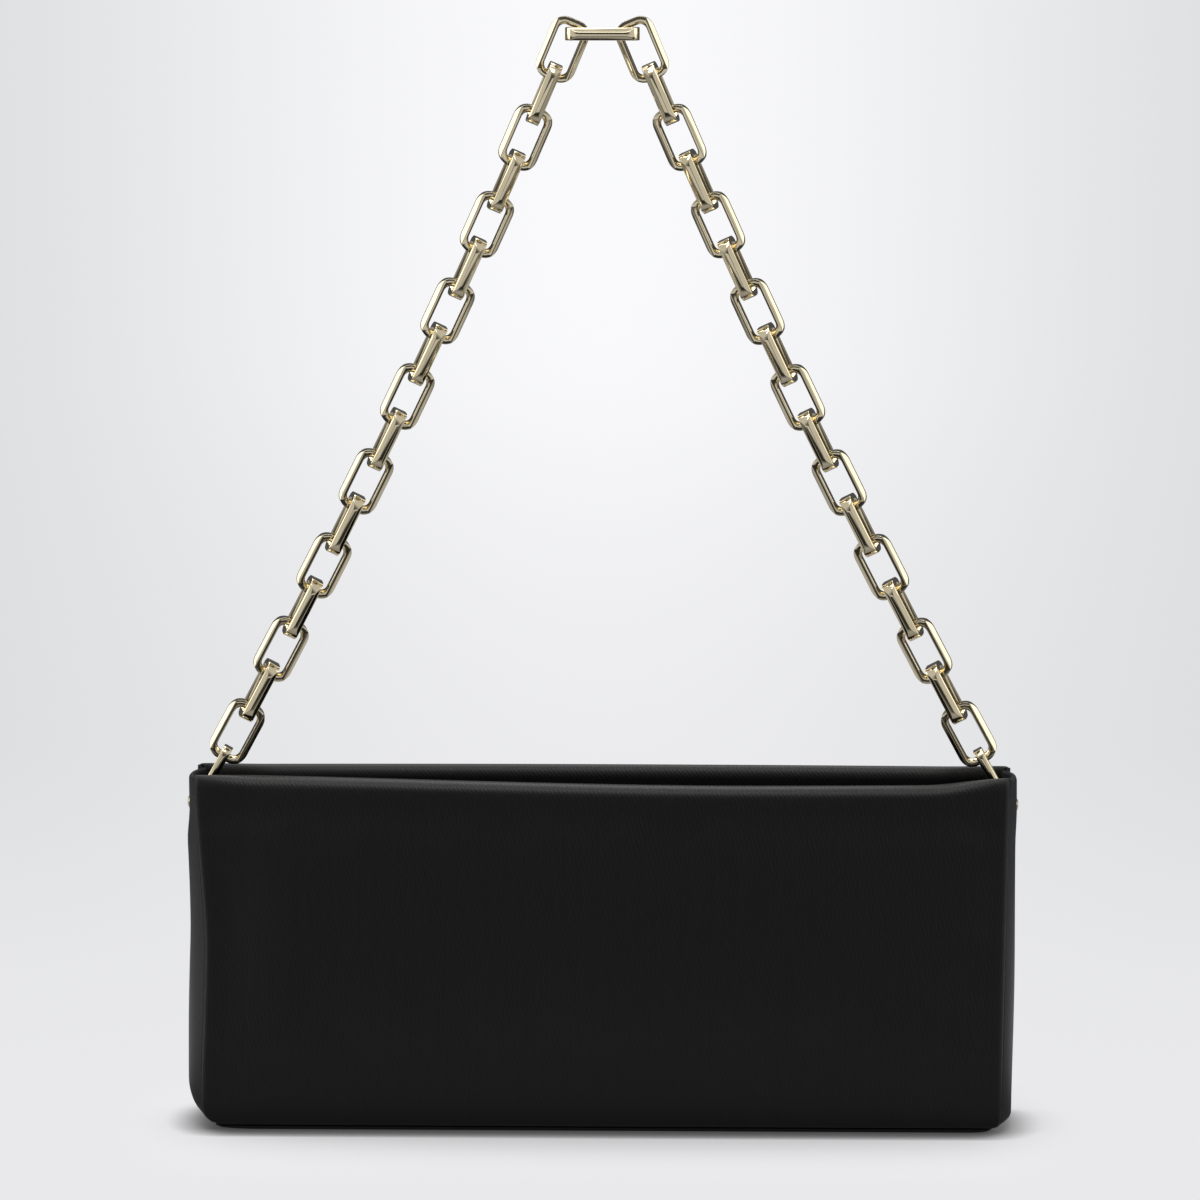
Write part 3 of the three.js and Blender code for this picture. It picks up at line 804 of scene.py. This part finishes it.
def gusset_half(name, toward, inset, thick, wall_inset, high, turned_in, pull, end):
    """Half of the left gusset: toward is -1 for its front half and 1 for its back half."""
    low = BASE_TOP + GAP
    foot = low + GUSSET_FOOT
    rows = [(lerp(low, foot, i / GUSSET_FOOT_ROWS), 0) for i in range(GUSSET_FOOT_ROWS)]
    rows += [(lerp(foot, high - GUSSET_LIP, i / GUSSET_ROWS), 0) for i in range(GUSSET_ROWS)]
    if turned_in:
        for i in range(GUSSET_LIP_ROWS + 1):
            turn = math.pi * i / GUSSET_LIP_ROWS
            rows.append((high - GUSSET_LIP * (1 - math.sin(turn)), GUSSET_LIP * (1 - math.cos(turn))))
        for i in range(1, GUSSET_TURNED_ROWS + 1):
            rows.append((lerp(high - GUSSET_LIP, turned_in, i / GUSSET_TURNED_ROWS), 2 * GUSSET_LIP))
    else:
        rows.append((high, 0))

    def place(across, along):
        z, inward = rows[round(along * (len(rows) - 1))]
        share = across - 1 if toward < 0 else across
        back_edge = wall_half(z) - SEAM - corner_in(z, end)
        front_edge = back_edge - pull(z)
        edge = lerp(front_edge, back_edge, (share + 1) / 2)
        depth = wall_reach(wall_half(z) - SEAM - inset, z) - wall_inset - GAP
        fold = ease((z - CREASE_FROM) / CREASE_RISE) * ease((CREASE_TO - z) / CREASE_FALL)
        crease = CREASE * hump(share, 0, CREASE_WIDTH) * fold
        bulge = gusset_bulge(z, end) * (1 - abs(share) ** GUSSET_ROUND[end])
        return Vector((-(edge + bulge - crease - inset - inward), share * depth, z))

    length = high - low + (high - turned_in if turned_in else 0)
    flat = (FOOT_HALF_DEPTH - wall_inset, length)
    cloth = loft(name, GUSSET_COLUMNS, len(rows) - 1, place, flat)
    bpy.ops.object.mode_set(mode="EDIT")
    bpy.ops.mesh.select_all(action="SELECT")
    bpy.ops.mesh.flip_normals()
    bpy.ops.object.mode_set(mode="OBJECT")
    finish_with(cloth, "SOLIDIFY", thickness=thick, offset=-1)
    return cloth, flat


def make_gusset(side, pull):
    end = ENDS[side]
    turned = end == RIGHT
    for wall, hand in (("front", -1), ("back", 1)):
        toward = -hand if turned else hand
        outer, outer_cut = gusset_half(
            f"{side}_gusset_satin_{wall}", toward, 0, GUSSET_SATIN, PANEL, RIM_HEIGHT - GUSSET_DROP,
            RIM_HEIGHT - GUSSET_TURNED, pull, end,
        )
        inner, inner_cut = gusset_half(
            f"{side}_gusset_cotton_{wall}", toward, GUSSET + GAP, LINING, LAYERS,
            RIM_HEIGHT - GUSSET_LINING_DROP, 0, pull, end,
        )
        for piece, slot, material, node, cut in (
            (outer, "black_satin", SATIN, f"{side}_gusset", outer_cut),
            (inner, "black_lining", COTTON, f"{side}_gusset_lining", inner_cut),
        ):
            if turned:
                half_turn(piece)
            dress(piece, None, slot, material, node)
            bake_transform(piece)


make_gusset("left", left_pull)
make_gusset("right", lambda z: 0)


# Snap magnets

def make_magnet(side):
    low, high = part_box(f"{side}_magnet")
    middle, radius, thick = (low + high) / 2, (high.x - low.x) / 2, high.y - low.y
    disc = start(
        bpy.ops.mesh.primitive_cylinder_add, f"{side}_snap_nickel",
        vertices=SNAP_SIDES, radius=radius, depth=thick,
    )
    bpy.ops.object.mode_set(mode="EDIT")
    pick(disc, "FACE", lambda f: f.normal.z > 0.9)
    bpy.ops.mesh.inset(thickness=SNAP_BORDER)
    extrude(0, 0, -SNAP_SUNK)
    bpy.ops.mesh.inset(thickness=SNAP_RING)
    extrude(0, 0, SNAP_POST)
    bpy.ops.object.mode_set(mode="OBJECT")
    bevel_edges(disc, SNAP_EDGE, 40)
    merge(disc)
    lay = Matrix.Rotation(-RIGHT_ANGLE if side == "front" else RIGHT_ANGLE, 4, "X")
    disc.data.transform(Matrix.Translation(middle) @ lay)
    smooth(disc, 35)
    dress(disc, f"{side}_wall", "magnet_steel", NICKEL, f"{side}_magnet")


make_magnet("front")
make_magnet("back")


# Chain

def model_link(length, width, bar, band, corner, flat, chamfer, hollow):
    """A link on its own: length along Z, width along X. Its long bars are chamfered, its ends are flat bands,
    and its inner edges are taken off so that the next link can tilt on it."""
    link = start(bpy.ops.mesh.primitive_cube_add, "link", size=1)
    bpy.ops.object.mode_set(mode="EDIT")
    bpy.ops.transform.resize(value=(width, band, length))
    pick(link, "EDGE", lambda e: abs(e.verts[0].co.y - e.verts[1].co.y) > band / 2)
    bpy.ops.mesh.bevel(offset=corner, segments=CORNER_STEPS, affect="EDGES")
    pick(link, "FACE", lambda f: abs(f.normal.y) > 0.9)
    bpy.ops.mesh.inset(thickness=bar)
    bpy.ops.mesh.bridge_edge_loops()
    in_width, in_length = width / 2 - bar, length / 2 - bar
    beside, beyond, into = hollow
    for face in (-1, 1):
        pick(link, "FACE", lambda f: abs(f.normal.y) < 0.1 and f.normal.dot(f.calc_center_median()) < 0)
        bpy.ops.mesh.bisect(
            plane_co=(0, face * (band / 2 - into), 0), plane_no=(0, 1, 0), threshold=CUT_THRESHOLD
        )
    pick(link, "VERT", lambda v: abs(v.co.x) < in_width + HAIR and abs(v.co.z) < in_length + HAIR
         and abs(v.co.y) > band / 2 - HAIR)
    bpy.ops.transform.resize(value=(1 + beside / in_width, 1, 1 + beyond / in_length))
    slope = (band - flat) / 2
    for hand in (-1, 1):
        for face in (-1, 1):
            bpy.ops.mesh.select_all(action="SELECT")
            bpy.ops.mesh.bisect(
                plane_co=(hand * (width / 2 - chamfer), face * band / 2, 0),
                plane_no=(hand * slope, face * chamfer, 0),
                use_fill=True,
                clear_outer=True,
                threshold=CUT_THRESHOLD,
            )
    bpy.ops.object.mode_set(mode="OBJECT")
    bevel_edges(link, LINK_EDGE, 24)
    merge(link)
    smooth(link, 32)
    return link


def node_frame(name):
    """Where a link of the frame lies: its middle, and its width, band and length as axes."""
    points = np.unique(np.round([v.co for v in frame["nodes"][name].data.vertices], 6), axis=0)
    middle = points.mean(0)
    spread = np.linalg.svd(points - middle, full_matrices=False)[2]
    length, width = Vector(spread[0]), Vector(spread[1])
    axes = Matrix((width, length.cross(width), length)).transposed()
    sizes = np.ptp((points - middle) @ np.array(axes), axis=0)
    return Matrix.Translation(middle) @ axes.to_4x4(), sizes


def copy_link(pattern, name, node, body):
    link = pattern.copy()
    link.data = pattern.data.copy()
    link.name = name
    bpy.context.scene.collection.objects.link(link)
    link.data.transform(node_frame(node)[0])
    dress(link, body, "pale_gold", GOLD, node)


def link_like(node, *form):
    width, _, length = node_frame(node)[1]
    return model_link(length, width, *form)


chain_link = (LINK_BAR, LINK_BAND, LINK_CORNER, LINK_FLAT, LINK_CHAMFER, LINK_HOLLOW)
ring = link_like("left_anchor_ring", RING_BAR, RING_BAND, RING_CORNER, RING_FLAT, RING_CHAMFER, RING_HOLLOW)
link = link_like("left_link_01", *chain_link)
long_link = link_like("top_link", *chain_link)
for body, nodes in frame["record"]["behaviour"]["bodies"].items():
    for node in nodes:
        if body.startswith("strap"):
            pattern = {"strap_rings": ring, "strap_top": long_link}.get(body, link)
            copy_link(pattern, f"{node}_gold", node, body)
for pattern in (ring, link, long_link):
    bpy.data.objects.remove(pattern)


# Anchor tabs and studs

def make_tab(side):
    low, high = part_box(f"{side}_anchor_tab")
    hand = ENDS[side]
    radius = (high.x - low.x) / 2
    middle = radius - TAB_THICK / 2
    pivot = Vector(((low.x + high.x) / 2, 0, high.z - radius))
    tab = start(bpy.ops.mesh.primitive_plane_add, f"{side}_tab_leather", size=1)
    bpy.ops.object.mode_set(mode="EDIT")
    bpy.ops.transform.resize(value=(TAB_THICK, high.y - low.y, 1))
    bpy.ops.transform.translate(value=(pivot.x + hand * middle, 0, low.z))
    extrude(0, 0, pivot.z - low.z)
    bpy.ops.mesh.spin(
        steps=TAB_STEPS, angle=hand * -(math.pi + TAB_WRAP), center=pivot, axis=(0, 1, 0),
        use_auto_merge=False,
    )
    aside = middle * (1 + math.cos(TAB_WRAP)) - TAB_THICK * TAB_LAP
    down = aside / math.tan(TAB_WRAP)
    extrude(hand * aside, 0, -down)
    end = pivot.z - middle * math.sin(TAB_WRAP) - down
    extrude(0, 0, low.z - end)
    bpy.ops.mesh.select_all(action="SELECT")
    bpy.ops.mesh.remove_doubles(threshold=HAIR)
    bpy.ops.mesh.normals_make_consistent(inside=False)
    bpy.ops.object.mode_set(mode="OBJECT")
    bevel_edges(tab, TAB_EDGE, 50)
    smooth(tab, 35)
    dress(tab, "bag", "black_leather", LEATHER, f"{side}_anchor_tab")


def make_stud(side):
    low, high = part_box(f"{side}_stud")
    radius = (high.y - low.y) / 2
    length = high.x - low.x
    stud = start(
        bpy.ops.mesh.primitive_cylinder_add, f"{side}_stud_gold",
        vertices=STUD_SIDES, radius=radius, depth=STUD_FOOT,
    )
    bpy.ops.object.mode_set(mode="EDIT")
    bpy.ops.transform.translate(value=(0, 0, (STUD_FOOT - length) / 2))
    pick(stud, "FACE", lambda f: f.normal.z > 0.9)
    bpy.ops.mesh.inset(thickness=radius - STUD_SHANK)
    extrude(0, 0, length - STUD_FOOT - STUD_HEAD)
    extrude(0, 0, 0)
    bpy.ops.transform.resize(value=(radius / STUD_SHANK, radius / STUD_SHANK, 1))
    for rise, narrowing in STUD_DOME:
        extrude(0, 0, STUD_HEAD * rise)
        bpy.ops.transform.resize(value=(narrowing, narrowing, 1))
    bpy.ops.mesh.select_all(action="SELECT")
    bpy.ops.mesh.normals_make_consistent(inside=False)
    bpy.ops.object.mode_set(mode="OBJECT")
    bevel_edges(stud, STUD_EDGE, 40)
    lay = Matrix.Rotation(ENDS[side] * RIGHT_ANGLE, 4, "Y")
    stud.data.transform(Matrix.Translation((low + high) / 2) @ lay)
    smooth(stud, 40)
    dress(stud, "bag", "pale_gold", GOLD, f"{side}_stud")


for side in ENDS:
    make_tab(side)
    make_stud(side)


# Stage

def floor_and_backdrop():
    # Matt paper: a flat floor that rises far behind in one wide curve. A painted beam of light makes it paler
    # towards the back and down the middle, with painted shade at its sides. In reflections it is painted in
    # pale and dark bands, with a painted dark band across it in front, so that the satin stays black.
    sweep = start(bpy.ops.mesh.primitive_plane_add, "paper_sweep", size=1)
    bpy.ops.object.mode_set(mode="EDIT")
    bpy.ops.transform.resize(value=(FLOOR_WIDTH, FLOOR_FRONT + SWEEP_START, 1))
    bpy.ops.transform.translate(value=(0, (SWEEP_START - FLOOR_FRONT) / 2, 0))
    pick(sweep, "EDGE", lambda e: min(v.co.y for v in e.verts) > 0)
    bpy.ops.mesh.spin(
        steps=SWEEP_STEPS, angle=-RIGHT_ANGLE, center=(0, SWEEP_START, SWEEP_RADIUS), axis=(1, 0, 0),
        use_auto_merge=False,
    )
    extrude(0, 0, SWEEP_RISE)
    bpy.ops.mesh.select_all(action="SELECT")
    bpy.ops.mesh.remove_doubles(threshold=MM)
    bpy.ops.mesh.normals_make_consistent(inside=False)
    bpy.ops.object.mode_set(mode="OBJECT")
    bpy.ops.object.shade_smooth()
    made = bpy.data.materials.new("pale_paper")
    made.use_nodes = True
    tree = made.node_tree
    tree.nodes.clear()
    place = add(tree, "ShaderNodeTexCoord")
    axes = add(tree, "ShaderNodeSeparateXYZ", {"Vector": place.outputs["Object"]})
    behind = add(tree, "ShaderNodeMapRange", {"Value": axes.outputs["Y"], "From Max": PAINTED_SIDE_SHADE_REACHED},
                 interpolation_type="SMOOTHSTEP")
    far = add(tree, "ShaderNodeMapRange", {"Value": axes.outputs["Y"], "From Max": PAINTED_MIDDLE_LIGHT_REACHED},
              interpolation_type="SMOOTHSTEP")
    # painted beam of light down the middle of the paper, with painted shade at its sides
    spread = add(tree, "ShaderNodeMath", {0: axes.outputs["Y"], 1: PAINTED_BEAM_FRONT})
    across = add(tree, "ShaderNodeMath",
                 {0: axes.outputs["Y"], 1: PAINTED_BEAM_LEAN, 2: axes.outputs["X"]}, operation="MULTIPLY_ADD")
    slant = add(tree, "ShaderNodeMath", {0: across.outputs[0], 1: spread.outputs[0]}, operation="DIVIDE")
    aside = add(tree, "ShaderNodeMath", {0: slant.outputs[0]}, operation="ABSOLUTE")
    painted_beam = add(tree, "ShaderNodeMapRange", {"Value": aside.outputs[0], "From Max": PAINTED_BEAM_SPREAD},
               interpolation_type="SMOOTHSTEP")
    painted_side_shade = add(tree, "ShaderNodeMix",
                {0: behind.outputs[0], 6: linear(PAPER_NEAR), 7: linear(PAPER_PAINTED_SIDE_SHADE)}, data_type="RGBA")
    middle = add(tree, "ShaderNodeMix",
                 {0: far.outputs[0], 6: linear(PAPER_NEAR), 7: linear(PAPER_PAINTED_MIDDLE_LIGHT)}, data_type="RGBA")
    shade = add(tree, "ShaderNodeMix",
                {0: painted_beam.outputs[0], 6: middle.outputs[2], 7: painted_side_shade.outputs[2]}, data_type="RGBA")
    # painted reflection: in reflections the floor's brightness is painted in these bands
    span = add(tree, "ShaderNodeMapRange",
               {"Value": axes.outputs["Y"], "From Min": PAINTED_REFLECTION_BANDS[0][0], "From Max": PAINTED_REFLECTION_BANDS[-1][0]})
    painted_reflection = add(tree, "ShaderNodeValToRGB", {"Fac": span.outputs[0]})
    stops = painted_reflection.color_ramp.elements
    for place_y, _ in PAINTED_REFLECTION_BANDS[1:-1]:
        stops.new((place_y - PAINTED_REFLECTION_BANDS[0][0]) / (PAINTED_REFLECTION_BANDS[-1][0] - PAINTED_REFLECTION_BANDS[0][0]))
    for stop, (_, bright) in zip(stops, PAINTED_REFLECTION_BANDS):
        stop.color = (bright, bright, bright, 1)
    seen = add(tree, "ShaderNodeLightPath")
    strength = add(tree, "ShaderNodeMix",
                   {0: seen.outputs["Is Camera Ray"], 2: painted_reflection.outputs["Color"], 3: 1.0})
    # close to the bag the paper takes the lamps' shadow, and painted shade darkens its colour, deepest where
    # they touch
    # painted fade: this mask, not the lamps, sets how far the real shadow reaches before the even glow covers
    # it
    off = add(tree, "ShaderNodeVectorMath", {0: place.outputs["Object"]}, operation="ABSOLUTE")
    past = add(tree, "ShaderNodeVectorMath", {0: off.outputs[0], 1: SHADOW_CORE}, operation="SUBTRACT")
    outside = add(tree, "ShaderNodeVectorMath", {0: past.outputs[0]}, operation="MAXIMUM")
    narrow = add(tree, "ShaderNodeVectorMath",
                 {0: outside.outputs[0], 1: SHADOW_NARROW}, operation="MULTIPLY")
    away = add(tree, "ShaderNodeVectorMath", {0: narrow.outputs[0]}, operation="LENGTH")
    clear = add(tree, "ShaderNodeMapRange",
                {"Value": away.outputs["Value"], "From Min": SHADOW_PAINTED_FADE[0], "From Max": SHADOW_PAINTED_FADE[1],
                 "To Min": SHADOW_GLOW, "To Max": 1}, interpolation_type="SMOOTHSTEP")
    # painted contact shade: occlusion darkens the paper's colour towards black
    light_way = add(tree, "ShaderNodeCombineXYZ", {"Y": PAINTED_CONTACT_SHADE_TILT, "Z": PAINTED_CONTACT_SHADE_TILT})
    painted_contact_occlusion = add(tree, "ShaderNodeAmbientOcclusion",
                   {"Distance": PAINTED_CONTACT_SHADE_REACH, "Normal": light_way.outputs[0]}, samples=PAINTED_CONTACT_SHADE_SAMPLES)
    painted_contact_shade = add(tree, "ShaderNodeMath", {0: painted_contact_occlusion.outputs["AO"], 1: PAINTED_CONTACT_SHADE_DEPTH}, operation="POWER")
    tone = add(tree, "ShaderNodeMix",
               {0: painted_contact_shade.outputs[0], 6: linear("#000000"), 7: linear(PAPER_SHADED)}, data_type="RGBA")
    paper = add(tree, "ShaderNodeBsdfDiffuse", {"Color": tone.outputs[2]})
    glow = add(tree, "ShaderNodeEmission", {"Color": shade.outputs[2], "Strength": strength.outputs[0]})
    share = add(tree, "ShaderNodeMath",
                {0: seen.outputs["Is Camera Ray"], 1: clear.outputs[0], 2: seen.outputs["Is Glossy Ray"]},
                operation="MULTIPLY_ADD")
    mixed = add(tree, "ShaderNodeMixShader", {0: share.outputs[0], 1: paper.outputs[0], 2: glow.outputs[0]})
    add(tree, "ShaderNodeOutputMaterial", {"Surface": mixed.outputs[0]})
    sweep.data.materials.append(made)


def lamp(name, place, size, power):
    data = bpy.data.lights.new(name, "AREA")
    data.shape = "RECTANGLE"
    data.size, data.size_y = size
    data.energy = power
    made = bpy.data.objects.new(name, data)
    made.location = place
    made.rotation_euler = (LAMP_AIM - made.location).to_track_quat("-Z", "Y").to_euler()
    bpy.context.scene.collection.objects.link(made)


def studio():
    # A white tent, open and dark towards the front: metal mirrors pale walls between dark edges.
    world = bpy.data.worlds.new("studio")
    bpy.context.scene.world = world
    world.use_nodes = True
    tree = world.node_tree
    tree.nodes.clear()
    way = add(tree, "ShaderNodeTexCoord")
    axes = add(tree, "ShaderNodeSeparateXYZ", {"Vector": way.outputs["Generated"]})
    tent = add(tree, "ShaderNodeMapRange",
               {"Value": axes.outputs["Y"], "From Min": TENT_TURN[0], "From Max": TENT_TURN[1],
                "To Min": TENT_LIGHT[0], "To Max": TENT_LIGHT[1]}, interpolation_type="SMOOTHSTEP")
    seen = add(tree, "ShaderNodeLightPath")
    air = add(tree, "ShaderNodeBackground", {"Color": linear("#f1f0ef"), "Strength": tent.outputs[0]})
    paper = add(tree, "ShaderNodeBackground", {"Color": linear(PAPER_NEAR), "Strength": 1})
    mixed = add(tree, "ShaderNodeMixShader",
                {0: seen.outputs["Is Camera Ray"], 1: air.outputs[0], 2: paper.outputs[0]})
    add(tree, "ShaderNodeOutputWorld", {"Surface": mixed.outputs[0]})
    for softbox in SOFTBOXES:
        lamp(*softbox)


def photo_camera():
    data = bpy.data.cameras.new("photo_camera")
    data.lens = CAMERA_LENS
    data.sensor_width = CAMERA_SENSOR
    data.clip_end = CAMERA_REACH
    camera = bpy.data.objects.new("photo_camera", data)
    level = math.cos(CAMERA_ELEVATION)
    across, along = math.sin(CAMERA_AZIMUTH) * level, -math.cos(CAMERA_AZIMUTH) * level
    back = Vector((across, along, math.sin(CAMERA_ELEVATION)))
    camera.location = CAMERA_TARGET + back * CAMERA_DISTANCE
    camera.rotation_euler = (-back).to_track_quat("-Z", "Y").to_euler()
    bpy.context.scene.collection.objects.link(camera)
    bpy.context.scene.camera = camera


floor_and_backdrop()
studio()
photo_camera()
bpy.context.scene.view_settings.view_transform = "Standard"
